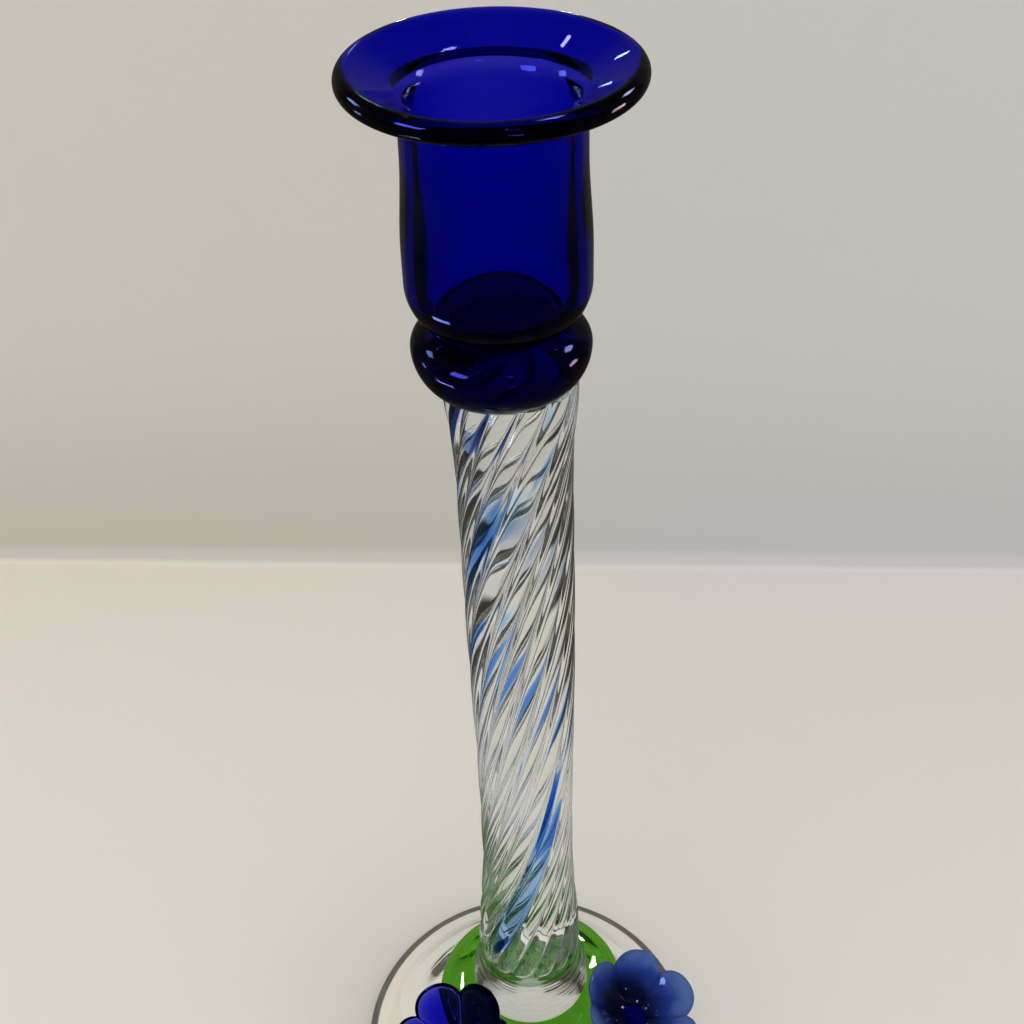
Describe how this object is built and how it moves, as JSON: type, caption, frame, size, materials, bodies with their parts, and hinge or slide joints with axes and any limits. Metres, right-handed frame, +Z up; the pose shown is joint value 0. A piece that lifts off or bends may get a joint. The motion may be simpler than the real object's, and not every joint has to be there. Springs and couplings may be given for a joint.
{
  "type": "glass candlestick",
  "caption": "Glass candlestick for a taper candle: flared cobalt cup on a ball knop, twisted clear stem with blue canes, green pad and glass flowers on a clear domed foot.",
  "frame": {"origin": "centre of the foot, on the table", "axes": "+Z up the candlestick's axis; the two flowers are on the -Y side; +X to the right when seen from -Y"},
  "size_m": [0.0826, 0.0824, 0.264],
  "materials": {
    "clear_glass": "clear, fire polished",
    "green_glass": "translucent green, fire polished",
    "blue_cane_glass": "translucent blue, sealed inside the stem",
    "cobalt_glass": "transparent cobalt blue, fire polished",
    "periwinkle_glass": "milky periwinkle blue, fire polished"
  },
  "bodies": {
    "root": {"foot": "clear_glass", "green_pad": "green_glass", "stem_collar": "clear_glass", "stem_core": "clear_glass", "stem_casing": "clear_glass", "blue_cane_1": "blue_cane_glass", "blue_cane_2": "blue_cane_glass", "blue_cane_3": "blue_cane_glass", "blue_cane_4": "blue_cane_glass", "knop": "cobalt_glass", "candle_cup": "cobalt_glass", "left_flower_heart": "cobalt_glass", "left_petal_1": "cobalt_glass", "left_petal_2": "cobalt_glass", "left_petal_3": "cobalt_glass", "left_petal_4": "cobalt_glass", "left_petal_5": "cobalt_glass", "left_petal_6": "cobalt_glass", "right_flower_heart": "cobalt_glass", "right_petal_1": "periwinkle_glass", "right_petal_2": "periwinkle_glass", "right_petal_3": "periwinkle_glass", "right_petal_4": "periwinkle_glass", "right_petal_5": "periwinkle_glass", "right_petal_6": "periwinkle_glass"}
  },
  "joints": []
}
